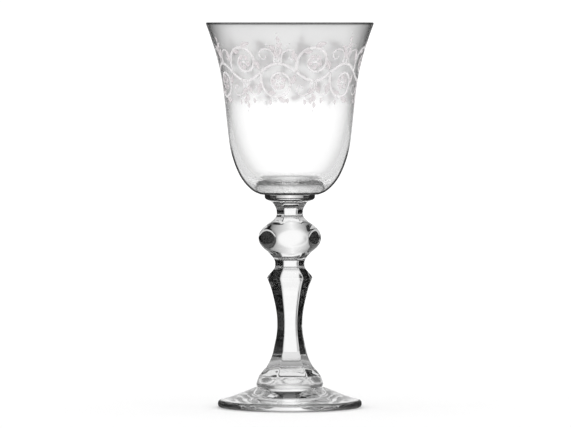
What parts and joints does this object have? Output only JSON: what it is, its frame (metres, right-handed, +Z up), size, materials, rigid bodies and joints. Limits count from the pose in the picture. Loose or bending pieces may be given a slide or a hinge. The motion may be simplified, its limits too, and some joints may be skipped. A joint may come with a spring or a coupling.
{
  "type": "stemmed liqueur glass",
  "caption": "Small stemmed liqueur glass with a flared bell bowl, a faceted knop and baluster stem, and a round foot.",
  "frame": {"origin": "on the axis of the glass, at the plane of the ring that the foot rests on", "axes": "+Z up along the axis, from the foot to the rim. Two opposite panels of the six-sided stem face +Y and -Y, and two opposite corners lie on +X and -X."},
  "size_m": [0.0566, 0.0566, 0.13],
  "materials": {
    "bowl_glass": "thin clear polished glass, with a band of fine frosted etching below the rim",
    "stem_glass": "solid clear glass, fire-polished, with flat panels",
    "foot_glass": "solid clear glass, fire-polished"
  },
  "bodies": {
    "root": {"foot": "foot_glass", "stem_base": "stem_glass", "baluster_stem": "stem_glass", "lower_neck": "stem_glass", "faceted_knop": "stem_glass", "upper_neck": "stem_glass", "bowl_button": "stem_glass", "bowl": "bowl_glass"}
  },
  "joints": []
}
